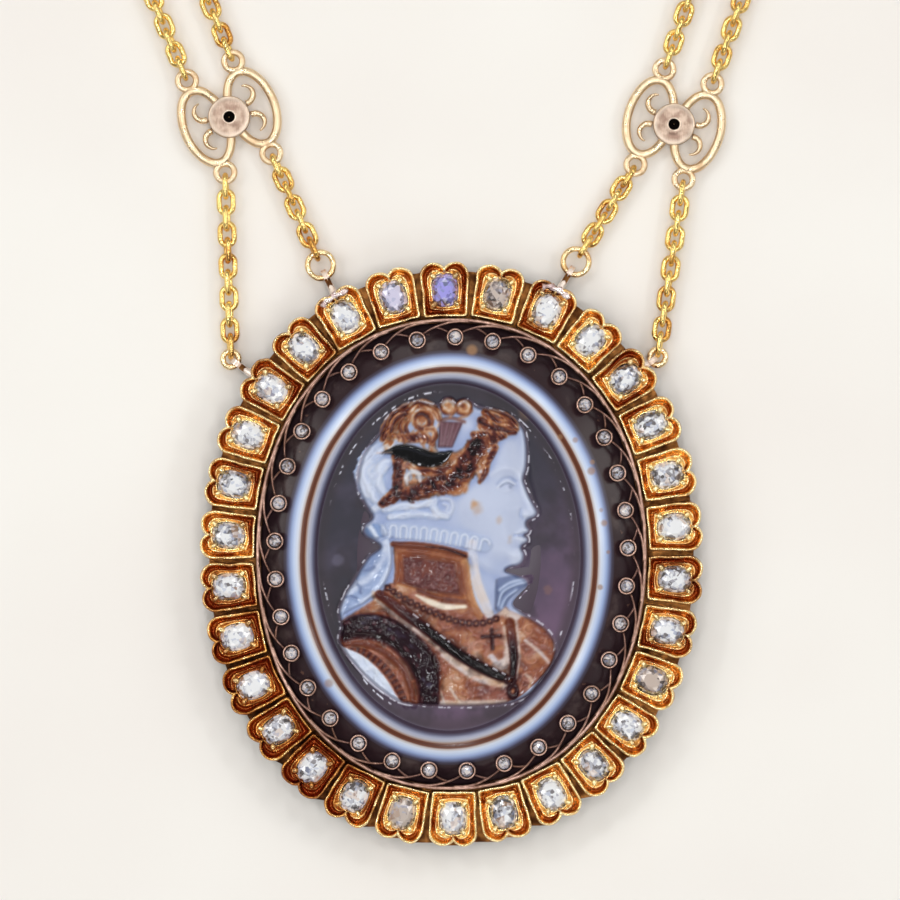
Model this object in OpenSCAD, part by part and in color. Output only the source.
// Oval cameo pendant on a double trace chain, laid flat on its back.
// A carved banded stone lies in an oval frame of box settings, held down by a pierced
// gallery of small collets. Four lugs and rings carry two short chains each side up to
// a scrolled connector, and from there two strands each side run round to a box clasp.
// Origin: middle of the frame's flat back. +X right, +Y towards the chain, +Z up
// out of the carved face. All sizes in millimetres.

/* [Frame] */
// Number of box settings round the frame
setting_count = 30; // [26:1:31]
// Half width of the oval through the middles of the set stones
frame_rx = 22.35; // [21.8:0.05:24]
// Half height of the oval through the middles of the set stones
frame_ry = 26.4; // [25.8:0.05:28]
// Squareness of the ovals, where 2 is a true ellipse
oval_square = 2.13; // [2:0.01:2.25]
// Height of the back band that joins the settings
band_h = 2.5; // [1.6:0.1:3]
// Thickness of the closed back under the cameo
back_t = 0.8; // [0.6:0.05:1.2]

/* [Box settings] */
// Width of a setting at its outer end
box_w_out = 4.96; // [4.6:0.02:5.1]
// Width of a setting at its inner end
box_w_in = 4.36; // [4.1:0.02:4.5]
// Reach of a setting from its stone outwards
box_out = 2.8; // [2.7:0.05:3.2]
// Reach of a setting from its stone inwards
box_in = 2.7; // [2.6:0.05:3]
// Height of a setting from the flat back to its rim
box_h = 4.2; // [3.8:0.05:4.8]
// Radius of the two lobes at the outer end
lobe_r = 1.4; // [1.3:0.02:1.5]
// Width of the raised rim
box_rim = 0.4; // [0.3:0.02:0.5]
// Depth of the trough inside the rim
trough_d = 0.8; // [0.5:0.05:1]
// Radius of the corner grains
grain_r = 0.3; // [0.2:0.02:0.34]

/* [Diamonds] */
// Width of a stone across the setting
stone_w = 2.7; // [2.5:0.02:2.8]
// Length of a stone along the setting
stone_l = 3.36; // [3:0.02:3.4]
// Height of the crown above the girdle
crown_h = 0.62; // [0.5:0.02:0.75]
// Depth of the pavilion below the girdle
pavilion_h = 1.5; // [1.3:0.02:1.6]
// Thickness of the girdle
girdle_t = 0.1; // [0.06:0.01:0.14]
// Gap between a stone and its seat
stone_gap = 0.06; // [0.05:0.01:0.08]

/* [Gallery] */
// Number of small collets
collet_count = 33; // [28:1:36]
// Outer radius of a collet
collet_r = 0.88; // [0.8:0.01:1]
// Wall of a collet
collet_wall = 0.22; // [0.18:0.01:0.26]
// Distance from the gallery's rim in to the middles of the collets
collet_inset = 1.9; // [1.8:0.05:2]
// Distance from the gallery's rim in to the feet of the arches
arch_rise = 0.95; // [0.8:0.05:1.1]
// Width of the arches
arch_w = 0.36; // [0.3:0.01:0.42]
// Width of the arms between arch feet and collets
arm_w = 0.24; // [0.2:0.01:0.3]
// Thickness of the gallery's rim
gallery_rim = 0.36; // [0.3:0.01:0.5]
// Thickness of the openwork
openwork_t = 0.5; // [0.35:0.01:0.55]
// Height of the openwork's face over the flat back
gallery_h = 4.3; // [4.25:0.01:4.6]
// Gap between the gallery and what it is fitted in or over
gallery_gap = 0.1; // [0.06:0.01:0.14]
// Height of a small rose stone
rose_h = 0.5; // [0.4:0.01:0.6]

/* [Cameo] */
// Width of the bevel from the crest to the stone's edge, at the sides
bevel_w = 4.99; // [4.8:0.01:5.4]
// Width of the same bevel, at the ends
bevel_l = 4.84; // [4.6:0.01:5.4]
// Height of the field's middle over the flat back
field_z = 3.2; // [3:0.05:3.4]
// Rise of the field from its middle to its edge
field_dish = 0.3; // [0.1:0.05:0.4]
// Height of the stone's edge over the flat back
stone_edge_z = 2.6; // [2.2:0.05:2.7]
// Height of the crest round the field over the flat back
crest_z = 4.8; // [4.5:0.05:5]
// Width of the crest, from the field to the bevel
crest_w = 0.9; // [0.6:0.05:1.2]
// Height of the carved bust over the field
relief_h = 1.8; // [1.2:0.05:2]
// Offset of the carving from the stone's middle, across
carve_dx = -0.25; // [-0.4:0.05:0.4]
// Offset of the carving from the stone's middle, along
carve_dy = -0.3; // [-0.4:0.05:0.4]

/* [Lugs and rings] */
// Distance from a set stone to the ring on an upper lug
upper_lug_reach = 5.8; // [5.5:0.05:6.2]
// Distance from a set stone to the ring on a lower lug
lower_lug_reach = 4; // [3.95:0.05:4.4]
// How much longer the lower left lug is than the lower right one
long_lug = 1.1; // [0.6:0.05:1.3]
// Radius of an upper jump ring, to the middle of its wire
upper_ring_r = 1.3; // [1.2:0.02:1.5]
// Radius of a lower jump ring, to the middle of its wire
lower_ring_r = 0.8; // [0.76:0.02:0.9]
// Radius of the rings' wire
ring_wire_r = 0.25; // [0.2:0.01:0.26]
// Radius of the hole in a lug's eye
eye_hole_r = 0.42; // [0.4:0.01:0.46]
// Wall of a lug's eye
eye_wall = 0.36; // [0.28:0.01:0.4]
// Thickness of a lug
lug_t = 0.55; // [0.4:0.01:0.6]
// Height of the wires' middles over the flat back
wire_z = 1; // [1:0.01:1.1]

/* [Chain] */
// Length of a chain link over its wire
link_l = 2.7; // [2.6:0.02:2.9]
// Width of a chain link over its wire
link_w = 1.9; // [1.8:0.02:2]
// Thickness of a link's wire
link_d = 0.48; // [0.42:0.01:0.5]
// Wanted distance from link to link
link_pitch = 1.52; // [1.48:0.01:1.56]
// Gap between two metal parts that hang in each other
hang_gap = 0.12; // [0.1:0.01:0.14]

/* [Connectors] */
// Half width of a scroll, to the middle of its band
scroll_rx = 2.25; // [2.1:0.01:2.35]
// Half height of a scroll, to the middle of its band
scroll_ry = 3.9; // [3.6:0.01:4.1]
// Distance from the connector's middle to the middle of a scroll
scroll_x = 2.52; // [2.4:0.01:2.6]
// Width of the scroll's band
scroll_band = 0.64; // [0.5:0.01:0.7]
// Thickness of a connector
scroll_t = 1.3; // [1.1:0.05:1.5]
// Radius of the middle disc
disc_r = 2.1; // [1.9:0.01:2.3]
// Radius of the hole in the disc
disc_hole_r = 0.54; // [0.4:0.01:0.6]
// Radius of a curl inside a scroll, to the middle of its band
curl_r = 0.9; // [0.8:0.01:0.95]
// Radius of an eyelet, to the middle of its band
eyelet_r = 0.87; // [0.84:0.01:0.95]
// Width of an eyelet's band
eyelet_band = 0.5; // [0.44:0.01:0.52]
// Thickness of an eyelet
eyelet_t = 0.56; // [0.4:0.01:0.6]

/* [Necklace loop] */
// Radius of the bend of the inner strands
loop_inner_r = 52.6; // [51:0.1:54]
// Distance between the inner and the outer strands round the bend
strand_gap = 4.5; // [4:0.1:6]
// Distance of the bend's middle above the pendant's middle
loop_y = 140; // [136:1:150]
// Sideways offset of the bend's middle
loop_x = -2.5; // [-4:0.1:0]
// Width of the clasp along the chain
clasp_w = 11; // [9:0.1:14]
// Distance from the clasp's outermost eyelets to its edge
clasp_edge = 1.75; // [1.4:0.05:3]
// Thickness of the clasp
clasp_t = 2.2; // [1.8:0.1:3]
// Radius of the clasp's corners
clasp_r = 1.2; // [0.6:0.1:2]

/* [Hidden] */

// Colours of the finishes
gold = [0.86, 0.62, 0.27];
pale_gold = [0.86, 0.74, 0.6];
chain_gold = [0.88, 0.7, 0.34];
dark_silver = [0.45, 0.36, 0.33];
white_stone = [0.88, 0.9, 0.95];
onyx = [0.62, 0.68, 0.82];

// Smoothness of round parts
fine = 48;
small = 24;
// Points round the big ovals, and steps when one is measured
oval_points = 120;
oval_steps = 240;

// The row of settings starts a little before the top and bunches to one side
setting_start = -0.4;
setting_drift = 0.4;
setting_drift_dir = 130;
collet_start = 0.35;

// Lugs, one row each: number of the setting, turn from square, reach to the ring,
// ring radius
lugs = [
    [2, -4.5, upper_lug_reach, upper_ring_r],
    [4, -1, lower_lug_reach, lower_ring_r],
    [26, -3.5, lower_lug_reach + long_lug, lower_ring_r],
    [28, -4.5, upper_lug_reach, upper_ring_r],
];
UPPER_RIGHT = 0;
LOWER_RIGHT = 1;
LOWER_LEFT = 2;
UPPER_LEFT = 3;

// Connectors, one row each: middle x and y, above the frame's shoulders, and turn in
// degrees
connectors = [
    [0.05 - frame_rx, frame_ry + 17.4, 22.7],
    [frame_rx - 0.03, frame_ry + 16.65, -16.9],
];
LEFT = 0;
RIGHT = 1;

// Ovals of the gallery and the stone, from the same values as the settings
gallery_rx = frame_rx - box_in - gallery_gap;
gallery_ry = frame_ry - box_in - gallery_gap;
stone_rx = gallery_rx - gallery_rim - gallery_gap;
stone_ry = gallery_ry - gallery_rim - gallery_gap;
field_rx = stone_rx - bevel_w - crest_w;
field_ry = stone_ry - bevel_l - crest_w;
collet_rx = gallery_rx - collet_inset;
collet_ry = gallery_ry - collet_inset;
base_z = back_t + gallery_gap;

// A superellipse: the point at an angle clockwise from the top
function oval(rx, ry, t, square = oval_square) =
    let (e = 2 / square, s = sin(t), c = cos(t))
    [rx * sign(s) * pow(abs(s), e), ry * sign(c) * pow(abs(c), e)];
function oval_outline(rx, ry) =
    [for (i = [0:oval_points - 1]) oval(rx, ry, 360 * i / oval_points)];
// Run along an oval against angle, as a table of pairs
function run_table(rx, ry) =
    let (q = [for (i = [0:oval_steps]) oval(rx, ry, 360 * i / oval_steps)])
    [for (i = 0, s = 0; i <= oval_steps;
          s = s + (i < oval_steps ? norm(q[i + 1] - q[i]) : 0), i = i + 1)
        [s, 360 * i / oval_steps]];
function wrapped(s, whole) = s - whole * floor(s / whole);
// Direction of an oval's tangent, clockwise, as a turn from +X
function oval_turn(rx, ry, t) =
    let (d = oval(rx, ry, t + 0.5) - oval(rx, ry, t - 0.5)) atan2(d[1], d[0]);

frame_table = run_table(frame_rx, frame_ry);
frame_run = frame_table[oval_steps][0];
collet_table = run_table(collet_rx, collet_ry);
collet_run = collet_table[oval_steps][0];

function setting_angle(i) =
    let (phase = 360 * i / setting_count)
    lookup(wrapped(frame_run * i / setting_count + setting_start
        + setting_drift * cos(phase - setting_drift_dir), frame_run), frame_table);
function setting_place(i) = oval(frame_rx, frame_ry, setting_angle(i));
function setting_turn(i) = oval_turn(frame_rx, frame_ry, setting_angle(i));
function collet_angle(i) =
    lookup(wrapped(collet_run * i / collet_count + collet_start, collet_run), collet_table);

module at_setting(i) {
    translate(setting_place(i)) rotate(setting_turn(i)) children();
}

// Outline of a box setting, outer end at +Y, drawn in by an inset
module box_plan(inset) {
    lobe_x = box_w_out / 2 - lobe_r;
    lobe_y = box_out - lobe_r;
    polygon([
        [-box_w_in / 2 + inset, -box_in + inset],
        [box_w_in / 2 - inset, -box_in + inset],
        [box_w_out / 2 - inset, lobe_y],
        [-box_w_out / 2 + inset, lobe_y],
    ]);
    for (side = [-1, 1])
        translate([side * lobe_x, lobe_y]) circle(r = lobe_r - inset, $fn = small);
}

// Cushion outline of a stone, as points
function cushion(w, l, n) =
    [for (i = [0:n - 1])
        let (t = 360 * (i + 0.5) / n, e = 2 / 2.5, s = sin(t), c = cos(t))
        [w / 2 * sign(s) * pow(abs(s), e), l / 2 * sign(c) * pow(abs(c), e)]];

// Girdle below the setting's rim, and the seat's step below the girdle
girdle_drop = 0.66;
seat_drop = 0.25;
girdle_z = box_h - girdle_drop;
seat_z = girdle_z - girdle_t - seat_drop;
// Share of the stone's outline that the hole under it keeps
seat_share = 0.89;
// Bezel round a stone: its wall, and how far it and the grains stand above the girdle
bezel_w = 0.34;
bezel_rise = 0.16;
grain_rise = 0.46;
// Open back of a setting
azure_w = 3;
azure_l = 3.7;
azure_h = 1.9;
// How far one shape runs into another that it joins
joint = 0.1;

module box_body() {
    difference() {
        linear_extrude(box_h) box_plan(0);
        translate([0, 0, box_h - trough_d]) linear_extrude(box_h) box_plan(box_rim);
    }
    linear_extrude(girdle_z + bezel_rise)
        polygon(cushion(stone_w + 2 * bezel_w, stone_l + 2 * bezel_w, 16));
    for (sx = [-1, 1], sy = [-1, 1])
        translate([sx * stone_w / 2, sy * stone_l / 2, 0])
            cylinder(r = grain_r, h = girdle_z + grain_rise, $fn = small);
}

// Space for the stone, its pavilion and the open back of a setting
module box_hollow() {
    translate([0, 0, seat_z]) linear_extrude(box_h)
        polygon(cushion(stone_w + 2 * stone_gap, stone_l + 2 * stone_gap, 16));
    translate([0, 0, azure_h - joint]) linear_extrude(seat_z)
        polygon(cushion(stone_w * seat_share, stone_l * seat_share, 16));
    translate([-azure_w / 2, -azure_l / 2, -1]) cube([azure_w, azure_l, azure_h + 1]);
}

// A lug: tongue from the frame and an upright eye, in the plane of its run and +Z.
// Its root sits in the setting's outer wall, between a height below and above the eye
lug_root = 1.3;
root_below = 0.7;
root_above = 1.1;
neck_half = 0.62;
module lug(reach, ring_r) {
    eye_y = reach - ring_r;
    root_y = box_out - lug_root;
    translate([-lug_t / 2, 0, 0]) rotate([90, 0, 90]) linear_extrude(lug_t) difference() {
        union() {
            translate([eye_y, wire_z]) circle(r = eye_hole_r + eye_wall, $fn = small);
            polygon([
                [root_y, wire_z - root_below],
                [eye_y, wire_z - neck_half],
                [eye_y, wire_z + neck_half],
                [root_y, wire_z + root_above],
            ]);
        }
        translate([eye_y, wire_z]) circle(r = eye_hole_r, $fn = small);
    }
}

// A flat plate that fills the notch between the lobes over an upper lug
plate_depth = 1;
plate_step = 0.1;
module repair_plate() {
    translate([-lobe_r, box_out - plate_depth, back_t])
        cube([2 * lobe_r, plate_depth - plate_step, box_h - back_t - plate_step]);
}

// How far the back band stays inside the settings' outer ends
band_inset = 0.9;
module gold_frame() color(gold) {
    band_out = box_out - band_inset;
    difference() {
        union() {
            linear_extrude(band_h) difference() {
                polygon(oval_outline(frame_rx + band_out, frame_ry + band_out));
                polygon(oval_outline(frame_rx - box_in, frame_ry - box_in));
            }
            linear_extrude(back_t) polygon(oval_outline(frame_rx, frame_ry));
            for (i = [0:setting_count - 1]) at_setting(i) box_body();
            for (row = lugs) at_setting(row[0]) rotate(row[1]) lug(row[2], row[3]);
            for (i = [UPPER_RIGHT, UPPER_LEFT]) at_setting(lugs[i][0]) repair_plate();
        }
        for (i = [0:setting_count - 1]) at_setting(i) box_hollow();
    }
}

// An old-cut cushion stone: eight-sided table, crown, girdle, pavilion and culet
table_share = 0.5;
back_share = 0.55;
back_drop = 0.47;
module cut_stone(w, l) {
    n = 16;
    table_ring = [for (p = cushion(w * table_share, l * table_share, 8)) [p[0], p[1], crown_h]];
    upper_ring = [for (p = cushion(w, l, n)) [p[0], p[1], 0]];
    lower_ring = [for (p = cushion(w, l, n)) [p[0], p[1], -girdle_t]];
    back_ring = [for (p = cushion(w * back_share, l * back_share, 8))
        [p[0], p[1], -girdle_t - pavilion_h * back_drop]];
    points = concat(table_ring, upper_ring, lower_ring, back_ring,
        [[0, 0, -girdle_t - pavilion_h]]);
    up = 8;
    low = up + n;
    back = low + n;
    tip = back + 8;
    // Between a ring of eight and a ring of sixteen: kites split in three
    faces = concat(
        [[for (i = [0:7]) i]],
        [for (i = [0:7]) let (j = (i + 1) % 8, a = up + 2 * i, b = a + 1, c = up + (2 * i + 2) % n)
            each [[i, a, b], [j, i, b], [j, b, c]]],
        [for (i = [0:n - 1]) let (j = (i + 1) % n)
            each [[up + j, up + i, low + i], [up + j, low + i, low + j]]],
        [for (i = [0:7]) let (j = (i + 1) % 8, a = low + 2 * i, b = a + 1, c = low + (2 * i + 2) % n)
            each [[b, a, back + i], [b, back + i, back + j], [c, b, back + j]]],
        [for (i = [0:7]) [back + (i + 1) % 8, back + i, tip]]
    );
    polyhedron(points, faces);
}

module diamond(i) color(white_stone)
    at_setting(i) translate([0, 0, girdle_z]) cut_stone(stone_w, stone_l);

// A band along an oval that swings in and out of it: run shares and insets from the rim
function gallery_point(run, inset) =
    let (t = lookup(wrapped(run, collet_run), collet_table))
    oval(gallery_rx - inset, gallery_ry - inset, t);
half_pitch = collet_run / collet_count / 2;
function collet_place(i) = oval(collet_rx, collet_ry, collet_angle(i));
function foot_place(i) =
    gallery_point(collet_start + (2 * i + 1) * half_pitch, arch_rise + gallery_rim / 2);

module arch(i) {
    steps = 8;
    mid = collet_start + 2 * i * half_pitch;
    function swing(u) = gallery_rim / 2 + arch_rise * u * u;
    polygon(concat(
        [for (k = [0:steps]) let (u = 2 * k / steps - 1)
            gallery_point(mid + u * half_pitch, swing(u) - arch_w / 2)],
        [for (k = [steps:-1:0]) let (u = 2 * k / steps - 1)
            gallery_point(mid + u * half_pitch, swing(u) + arch_w / 2)]
    ));
}

module arm(a, b, w) {
    d = (b - a) / norm(b - a);
    side = [-d[1], d[0]] * w / 2;
    polygon([a + side, a - side, b - side, b + side]);
}

module openwork() {
    difference() {
        polygon(oval_outline(gallery_rx, gallery_ry));
        polygon(oval_outline(gallery_rx - gallery_rim, gallery_ry - gallery_rim));
    }
    for (i = [0:collet_count - 1]) {
        arch(i);
        arm(foot_place(i), collet_place(i), arm_w);
        arm(foot_place(i), collet_place(i + 1), arm_w);
        translate(collet_place(i)) circle(r = collet_r, $fn = small);
    }
}

// A rose stone stands a little above the openwork's back: its straight foot as a share
// of its height, and its top as a share of its width
rose_lift = 0.05;
rose_foot = 0.4;
rose_top = 0.45;
module gallery() color(dark_silver) {
    difference() {
        translate([0, 0, gallery_h - openwork_t]) linear_extrude(openwork_t) openwork();
        for (i = [0:collet_count - 1])
            translate(concat(collet_place(i), gallery_h - openwork_t - 1))
                cylinder(r = collet_r - collet_wall, h = openwork_t + 2, $fn = small);
    }
    translate([0, 0, base_z]) linear_extrude(gallery_h - base_z) difference() {
        polygon(oval_outline(gallery_rx, gallery_ry));
        polygon(oval_outline(gallery_rx - gallery_rim, gallery_ry - gallery_rim));
    }
}

module rose_stones() color(white_stone) {
    r = collet_r - collet_wall - stone_gap;
    foot = rose_h * rose_foot;
    for (i = [0:collet_count - 1])
        translate(concat(collet_place(i), gallery_h - openwork_t + rose_lift)) {
            cylinder(r = r, h = foot, $fn = 8);
            translate([0, 0, foot]) cylinder(r1 = r, r2 = r * rose_top, h = rose_h - foot, $fn = 8);
        }
}

// Carved forms of the bust, one row each, in hundredths of the field's half width,
// half height and the relief's height:
// x and y of one end, x and y of the other, radius at each end, height
masses = [
    // hair over the skull, brow and nape
    [-14, 50, 4, 56, 52, 46, 38],
    [26, 72, 38, 68, 26, 22, 34],
    // gathered hair at the back of the head
    [-54, 56, -54, 38, 16, 16, 32],
    // face: brow, cheek, jaw and chin
    [34, 46, 36, 24, 24, 26, 22],
    [14, 14, 44, 2, 18, 14, 20],
    // neck in its collar, throat
    [-16, 2, -10, -24, 27, 26, 26],
    [28, -14, 40, -26, 14, 12, 10],
    // breast, shoulder and sleeve
    [6, -52, 48, -54, 32, 30, 30],
    [-30, -38, -8, -60, 30, 34, 26],
    [-52, -50, -34, -66, 34, 30, 34],
];
details = [
    // topknot curls and the ornament under them
    [-2, 84, -2, 84, 9, 9, 22],
    [14, 84, 14, 84, 9, 9, 22],
    [2, 62, 2, 77, 5, 10, 26],
    // dark leaf
    [-50, 60, -24, 60, 5, 8, 26],
    [-24, 60, 3, 57, 8, 6, 26],
    // waved hair over the brow and round the ear
    [48, 76, 34, 58, 11, 12, 24],
    [34, 58, 22, 44, 12, 11, 24],
    [22, 44, -8, 40, 10, 9, 20],
    [-12, 38, -44, 32, 9, 9, 18],
    // ear, brow, nose, lips and chin
    [-9, 31, -9, 26, 8, 6, 14],
    [44, 43, 56, 42, 5, 5, 10],
    [54, 38, 62, 24, 5, 7, 16],
    [55, 14, 55, 14, 6, 6, 12],
    [49, 0, 49, 0, 10, 10, 12],
    // collar band and ruffle over it
    [-44, 20, 15, 10, 6, 6, 16],
    [-42, 7, 13, 1, 6, 6, 24],
    [8, -4, 12, -24, 6, 6, 16],
    // neckcloth
    [40, -12, 54, -18, 9, 7, 12],
    // sash, hanging ribbon and its knot
    [-52, -20, 42, -71, 7, 7, 26],
    [46, -37, 48, -66, 5, 5, 20],
    [48, -72, 48, -78, 8, 7, 26],
    // embroidered band of the sleeve
    [-78, -43, -47, -49, 10, 11, 22],
    [-47, -49, -22, -65, 11, 11, 24],
    [-22, -65, -14, -82, 11, 10, 22],
    // ribbon bow at the nape and its tail
    [-56, 19, -56, 13, 10, 10, 26],
    [-54, 4, -66, -14, 8, 12, 18],
    [-66, -14, -77, -31, 12, 11, 14],
    // bead chain
    [-44, -24, 16, -40, 4, 4, 12],
    [18, -40, 38, -36, 4, 4, 12],
];
hollows = [
    // under the jaw and behind the neck
    [2, 4, 40, -8, 6, 8, 20],
    [-50, 6, -36, -20, 5, 7, 18],
    // between the hair and its gathered end
    [-36, 66, -38, 34, 5, 5, 16],
    // eye
    [43, 36, 50, 35, 5, 5, 12],
    // between lips and nose, lips and chin
    [58, 18, 58, 18, 4, 4, 10],
    [54, 8, 54, 8, 4, 4, 8],
    // folds of the dress
    [18, -50, 22, -68, 5, 6, 10],
    [34, -48, 37, -60, 5, 6, 10],
    [64, -48, 60, -66, 5, 6, 10],
    [-14, -38, -4, -60, 5, 6, 10],
    [-58, -58, -44, -72, 5, 5, 10],
];

// Outline of the bust, clockwise from the top, in hundredths of the field's half width
// and half height
outline = [
    // topknot, hair over the brow
    [8, 87], [14, 90], [22, 86], [35, 84], [48, 80], [56, 74],
    // forehead, nose, lips and chin
    [58, 67], [59, 59], [58, 50], [55, 44], [60, 37], [67, 26], [66, 23.5], [59, 20],
    [59, 17.5], [61, 15], [57, 12.5], [59.5, 9], [55, 6], [57, 0], [52, -5],
    // neckcloth, shoulder and breast
    [42, -7.5], [58, -15], [58, -21], [50, -28], [55, -33], [71, -43.5], [80, -52],
    [79, -60], [68, -72], [50, -85], [33, -87], [15, -87], [0, -87], [-20, -86],
    // base of the sleeve, shoulder, ribbon tail and bow
    [-37, -85], [-50, -79], [-61, -72], [-72, -62], [-79, -55], [-85, -45], [-80, -38],
    [-84, -31], [-71, -15], [-60, -1], [-53, 6], [-64, 15], [-58, 23],
    // hair at the back and over the crown
    [-65, 31], [-69, 44], [-70, 54], [-62, 63], [-53, 71], [-41, 80], [-24, 87],
    [-11, 87], [-2, 91],
];
outline_polar = [for (p = outline) [wrapped(atan2(p[0], p[1]), 360), norm(p) / 100]];
// Spokes of the stone's face: angle from the top and share of the outline, close enough
// together that the ovals stay smooth
spoke_step = 3.1;
spokes = [for (i = [0:len(outline) - 1])
    let (a = outline_polar[i],
         b = i + 1 < len(outline) ? outline_polar[i + 1] : outline_polar[0] + [360, 0],
         parts = ceil((b[0] - a[0]) / spoke_step))
    for (m = [0:parts - 1]) a + (b - a) * m / parts];
spoke_count = len(spokes);
// The spoke at a share of the way round, between the ones beside it
function spoke_at(u) =
    let (i = floor(u * spoke_count), a = spokes[i],
         b = i + 1 < spoke_count ? spokes[i + 1] : spokes[0] + [360, 0])
    a + (b - a) * (u * spoke_count - i);

// Swell of one form over a point: a bar, round at both ends, with a soft foot
function swell(p, f) =
    let (size = [field_rx, field_ry] / 100,
         a = [f[0] * size[0], f[1] * size[1]], b = [f[2] * size[0], f[3] * size[1]], ab = b - a,
         t = ab * ab == 0 ? 0 : max(0, min(1, (p - a) * ab / (ab * ab))),
         q = norm(p - a - t * ab) / ((f[4] + (f[5] - f[4]) * t) * size[0]))
    q >= 1 ? 0 : f[6] / 100 * pow(1 - pow(q, 4), 2);
function swell_of(p, group) = max([for (f = group) swell(p, f)]);
// Share of the relief that the bust's edge has, and what its pillowed middle adds
edge_share = 0.3;
pillow_share = 0.14;
function bust_height(p, u) =
    relief_h * (edge_share + pillow_share * (1 - pow(u, 4))
        + swell_of(p, masses) + swell_of(p, details) - swell_of(p, hollows));
// The field is a shallow dish
function field_height(p) =
    field_z + field_dish * min(1, pow(p[0] / field_rx, 2) + pow(p[1] / field_ry, 2));

// Rings from the stone's edge in to the crest: shares of the bevel's width and drop
bevel = [[1, 1], [0.55, 0.46], [0.08, 0.04]];
// Rings over the crest: shares of its width and of its height over the field
crest = [[0.7, 1], [0.12, 0.8]];
// Rings of the bust, and how far its top draws in from its foot
bust_rings = 25;
bust_draw = 0.985;

function bevel_point(b, t) =
    let (w = crest_w + bevel_w * b[0],
         p = oval(field_rx + w, field_ry + (stone_ry - field_ry) * w / (crest_w + bevel_w),
             t, 2 + (oval_square - 2) * b[0]))
    [p[0] + carve_dx * (1 - b[0]), p[1] + carve_dy * (1 - b[0]),
        crest_z - (crest_z - stone_edge_z) * b[1]];
function crest_point(c, t) =
    let (edge_z = field_z + field_dish, w = crest_w * c[0])
    [(field_rx + w) * sin(t) + carve_dx, (field_ry + w) * cos(t) + carve_dy,
        edge_z + (crest_z - edge_z) * c[1]];
function carved_point(share, t) = [field_rx * share * sin(t), field_ry * share * cos(t)];
function raised(p, h) = [p[0] + carve_dx, p[1] + carve_dy, h];
function field_point(share, t) = let (p = carved_point(share, t)) raised(p, field_height(p));
function bust_point(s, u) =
    let (p = carved_point(bust_draw * s[1] * u, s[0])) raised(p, field_z + bust_height(p, u));

// Points in ring k of the bust, fewer and fewer towards the middle
function ring_points(k) = k == 0 ? 1 : round(spoke_count * k / bust_rings);
// Triangles between a ring of na points from number a on, and the ring of nb inside it
function between(a, na, b, nb) = concat(
    [for (i = [0:na - 1])
        [a + i, a + (i + 1) % na, b + max(0, ceil((i + 0.5) * nb / na - 0.5)) % nb]],
    nb < 3 ? [] : [for (j = [0:nb - 1])
        [a + (floor((j + 0.5) * na / nb - 0.5) + 1) % na, b + (j + 1) % nb, b + j]]
);

module cameo() color(onyx) {
    n = spoke_count;
    rim = concat(
        [for (s = spokes) let (p = oval(stone_rx, stone_ry, s[0])) [p[0], p[1], base_z]],
        [for (b = bevel, s = spokes) bevel_point(b, s[0])],
        [for (c = crest, s = spokes) crest_point(c, s[0])],
        [for (s = spokes) field_point(1, s[0])],
        [for (s = spokes) field_point(s[1], s[0])]
    );
    bust = [for (k = [bust_rings:-1:0], m = [0:ring_points(k) - 1])
        bust_point(spoke_at(m / ring_points(k)), k / bust_rings)];
    rim_rings = len(rim) / n;
    starts = [for (k = bust_rings, at = len(rim); k >= 0; at = at + ring_points(k), k = k - 1) at];
    polyhedron(concat(rim, bust), concat(
        [[for (i = [n - 1:-1:0]) i]],
        [for (k = [1:rim_rings]) each between((k - 1) * n, n, k * n, n)],
        [for (k = [bust_rings:-1:1]) let (at = bust_rings - k)
            each between(starts[at], ring_points(k), starts[at + 1], ring_points(k - 1))]
    ));
}

// Jump rings lie flat through the lugs' eyes
function lug_place(k) =
    let (row = lugs[k], a = setting_turn(row[0]) + row[1])
    setting_place(row[0]) + row[2] * [-sin(a), cos(a)];

module jump_ring(k) color(pale_gold)
    translate(concat(lug_place(k), wire_z))
        rotate_extrude($fn = fine) translate([lugs[k][3], 0]) circle(r = ring_wire_r, $fn = small);

// A chain link: an oval of wire swept round its middle line, long side along +X
module link(half_l, turn) {
    sides = 5;
    steps = 10;
    half_w = (link_w - link_d) / 2;
    run = half_l - half_w;
    function middle(i) =
        let (t = 360 * (i + 0.5) / steps)
        [half_w * cos(t) + (cos(t) > 0 ? run : -run), half_w * sin(t)];
    points = [for (i = [0:steps - 1], k = [0:sides - 1])
        let (c = middle(i), t = 360 * (i + 0.5) / steps, v = 360 * k / sides,
             out = [cos(t), sin(t)] * link_d / 2 * cos(v))
        [c[0] + out[0], c[1] + out[1], link_d / 2 * sin(v)]];
    rotate([turn, 0, 0]) polyhedron(points, [for (i = [0:steps - 1], k = [0:sides - 1])
        let (j = (i + 1) % steps, m = (k + 1) % sides)
        each [[i * sides + k, j * sides + m, j * sides + k],
            [i * sides + k, i * sides + m, j * sides + m]]]);
}

// Distance from the middle of the wire that holds a link to the link's middle
end_play = link_l / 2 - link_d - ring_wire_r - hang_gap;

// Gaps between a link and the next one, and the one after that
pass_gap = 0.1;
skip_gap = 0.05;
module row_of_links(a, b) {
    d = b - a;
    whole = norm(d) - 2 * end_play;
    spans = 2 * max(1, round(whole / link_pitch / 2));
    pitch = whole / spans;
    // The link's half length, held between what passes the next link and the one after
    half_l = max((pitch + link_d + pass_gap) / 2,
        min((link_l - link_d) / 2, pitch - link_d / 2 - skip_gap));
    for (i = [0:spans])
        translate(concat(a + d / norm(d) * (end_play + i * pitch), wire_z))
            rotate(atan2(d[1], d[0])) link(half_l, i % 2 == 0 ? 90 : 0);
}

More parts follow.
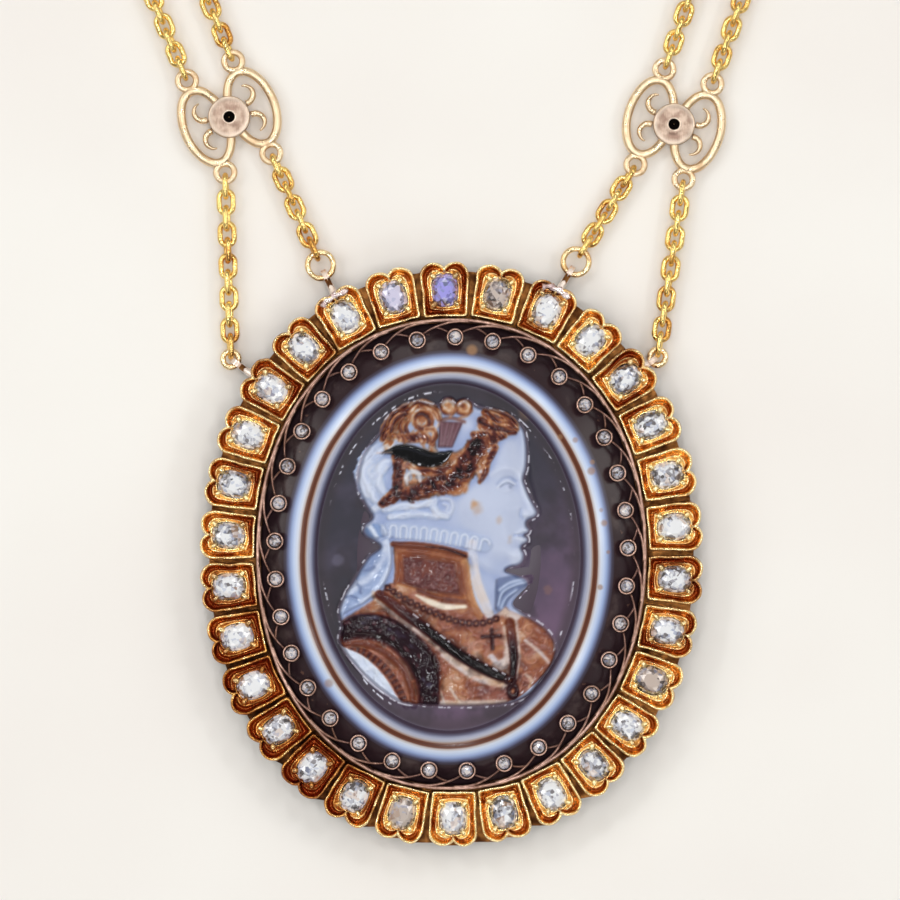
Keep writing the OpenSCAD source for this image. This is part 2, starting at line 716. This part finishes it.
// Eyelets of a connector, numbered: sx is -1 left or 1 right, sy is -1 low or 1 high
eyelet_x = scroll_x;
eyelet_y = scroll_ry + scroll_band / 2 + eyelet_r - joint;
function eyelet_place(c, sx, sy) =
    let (row = connectors[c], a = row[2], x = sx * eyelet_x, y = sy * eyelet_y)
    [row[0] + x * cos(a) - y * sin(a), row[1] + x * sin(a) + y * cos(a)];

module lower_chain(k, c, sx) color(chain_gold) {
    ring = lug_place(k);
    eyelet = eyelet_place(c, sx, -1);
    way = (eyelet - ring) / norm(eyelet - ring);
    row_of_links(ring + way * lugs[k][3], eyelet - way * eyelet_r);
}

module annulus(r, band) {
    difference() {
        circle(r = r + band / 2, $fn = fine);
        circle(r = r - band / 2, $fn = fine);
    }
}

module eyelet() {
    translate([0, 0, wire_z - eyelet_t / 2]) linear_extrude(eyelet_t)
        annulus(eyelet_r, eyelet_band);
}

// A curl that tapers from the disc to a blunt point, hollow side towards the disc
curl_root_w = 0.5;
curl_taper = 0.92;
curl_from = -80;
curl_sweep = -185;
curl_in = 0.15;
curl_up = 1.515;
module curl() {
    steps = 12;
    function edge(k, side) =
        let (u = k / steps, t = curl_from + curl_sweep * u,
             w = curl_root_w * (1 - curl_taper * u * u) / 2)
        (curl_r + side * w) * [cos(t), sin(t)];
    polygon(concat([for (k = [0:steps]) edge(k, 1)], [for (k = [steps:-1:0]) edge(k, -1)]));
}

module scroll_plan() {
    points = 40;
    function ring(grow) = [for (i = [0:points - 1]) let (t = 360 * i / points)
        [(scroll_rx + grow) * cos(t), (scroll_ry + grow) * sin(t)]];
    for (sx = [-1, 1]) {
        translate([sx * scroll_x, 0]) difference() {
            polygon(ring(scroll_band / 2));
            polygon(ring(-scroll_band / 2));
        }
        for (sy = [-1, 1])
            scale([-sx, sy]) translate([-disc_r - curl_in, curl_up]) curl();
    }
}

// A connector lies just off the ground, its disc a little thicker than its scrolls
connector_z = 0.1;
disc_rise = 0.3;
module connector(c) color(pale_gold) {
    row = connectors[c];
    translate([row[0], row[1], 0]) rotate(row[2]) {
        difference() {
            union() {
                translate([0, 0, connector_z]) linear_extrude(scroll_t) scroll_plan();
                translate([0, 0, connector_z]) cylinder(r = disc_r, h = scroll_t + disc_rise, $fn = fine);
            }
            translate([0, 0, -1]) cylinder(r = disc_hole_r, h = scroll_t + 3, $fn = small);
        }
        for (sx = [-1, 1], sy = [-1, 1]) translate([sx * eyelet_x, sy * eyelet_y, 0]) eyelet();
    }
}

// Strands of the loop: straight from the connector's eyelet, then round to the clasp
loop_outer_r = loop_inner_r + strand_gap;
clasp_d = strand_gap + 2 * clasp_edge;
function strand_radius(outer) = outer ? loop_outer_r : loop_inner_r;
clasp_reach = clasp_w / 2 + eyelet_r;
function clasp_eyelet(side, outer) =
    let (r = strand_radius(outer))
    [loop_x + side * clasp_reach, loop_y + sqrt(r * r - clasp_reach * clasp_reach)];
function strand_start(side, outer) = eyelet_place(side < 0 ? LEFT : RIGHT, outer ? side : -side, 1);
// Angle at which the straight part meets the bend, from the bend's middle
function strand_touch(side, outer) =
    let (v = strand_start(side, outer) - [loop_x, loop_y])
    atan2(v[1], v[0]) + side * acos(strand_radius(outer) / norm(v));
function strand_straight(side, outer) =
    let (v = strand_start(side, outer) - [loop_x, loop_y], r = strand_radius(outer))
    sqrt(v * v - r * r);
function strand_sweep(side, outer) =
    let (v = clasp_eyelet(side, outer) - [loop_x, loop_y],
         a = side * (atan2(v[1], v[0]) - strand_touch(side, outer)))
    a - 360 * floor(a / 360);
function strand_length(side, outer) =
    strand_straight(side, outer) + strand_radius(outer) * strand_sweep(side, outer) * PI / 180;
function strand_point(side, outer, s) =
    let (straight = strand_straight(side, outer), r = strand_radius(outer),
         touch = strand_touch(side, outer), start = strand_start(side, outer),
         meet = [loop_x, loop_y] + r * [cos(touch), sin(touch)])
    s < straight ? start + (meet - start) * s / straight
    : [loop_x, loop_y]
        + r * [cos(touch + side * (s - straight) / r * 180 / PI),
               sin(touch + side * (s - straight) / r * 180 / PI)];

strand_rings = 20;
strand_sides = 8;

// A strand is a tube as thick as its links, with a real link through the eyelet at each end
module strand(side, outer) {
    whole = strand_length(side, outer);
    first = eyelet_r + end_play;
    half_l = (link_l - link_d) / 2;
    clear = first + link_l / 2 + hang_gap;
    run = whole - 2 * clear;
    function spot(i) = strand_point(side, outer, clear + run * i / (strand_rings - 1));
    function heading(i) =
        let (a = strand_point(side, outer, clear + run * i / (strand_rings - 1) - 0.5),
             b = strand_point(side, outer, clear + run * i / (strand_rings - 1) + 0.5))
        (b - a) / norm(b - a);
    points = [for (i = [0:strand_rings - 1], k = [0:strand_sides - 1])
        let (v = 360 * (k + 0.5) / strand_sides, p = spot(i), d = heading(i), r = link_w / 2)
        [p[0] + d[1] * r * cos(v), p[1] - d[0] * r * cos(v), wire_z + r * sin(v)]];
    last = (strand_rings - 1) * strand_sides;
    color(chain_gold) {
        polyhedron(points, concat(
            [[for (k = [0:strand_sides - 1]) k]],
            [for (i = [0:strand_rings - 2], k = [0:strand_sides - 1])
                let (a = i * strand_sides, b = a + strand_sides, m = (k + 1) % strand_sides)
                each [[a + k, b + k, b + m], [a + k, b + m, a + m]]],
            [[for (k = [strand_sides - 1:-1:0]) last + k]]
        ));
        for (s = [first, whole - first]) {
            p = strand_point(side, outer, s);
            d = strand_point(side, outer, s + 0.5) - strand_point(side, outer, s - 0.5);
            translate([p[0], p[1], wire_z]) rotate(atan2(d[1], d[0])) link(half_l, 90);
        }
    }
}

module clasp() color(gold) {
    mid_r = (loop_inner_r + loop_outer_r) / 2;
    half = [clasp_w / 2 - clasp_r, clasp_d / 2 - clasp_r];
    translate([loop_x, loop_y + mid_r, 0]) linear_extrude(clasp_t) {
        square([clasp_w, clasp_d - 2 * clasp_r], center = true);
        square([clasp_w - 2 * clasp_r, clasp_d], center = true);
        for (sx = [-1, 1], sy = [-1, 1])
            translate([sx * half[0], sy * half[1]]) circle(r = clasp_r, $fn = fine);
    }
    for (side = [-1, 1], outer = [false, true])
        translate(clasp_eyelet(side, outer)) eyelet();
}

// Names of the nodes
function two_digits(i) = str(i < 9 ? "0" : "", i + 1);
function diamond_name(i) = str("diamond_", two_digits(i));
ring_names = ["upper_right_ring", "lower_right_ring", "lower_left_ring", "upper_left_ring"];

gold_frame();
gallery();
cameo();
rose_stones();
for (i = [0:setting_count - 1]) diamond(i);
for (k = [0:3]) jump_ring(k);
connector(LEFT);  // left_connector
connector(RIGHT);  // right_connector
lower_chain(UPPER_LEFT, LEFT, 1);  // left_inner_chain
lower_chain(LOWER_LEFT, LEFT, -1);  // left_outer_chain
lower_chain(UPPER_RIGHT, RIGHT, -1);  // right_inner_chain
lower_chain(LOWER_RIGHT, RIGHT, 1);  // right_outer_chain
strand(-1, false);  // left_inner_strand
strand(-1, true);  // left_outer_strand
strand(1, false);  // right_inner_strand
strand(1, true);  // right_outer_strand
clasp();
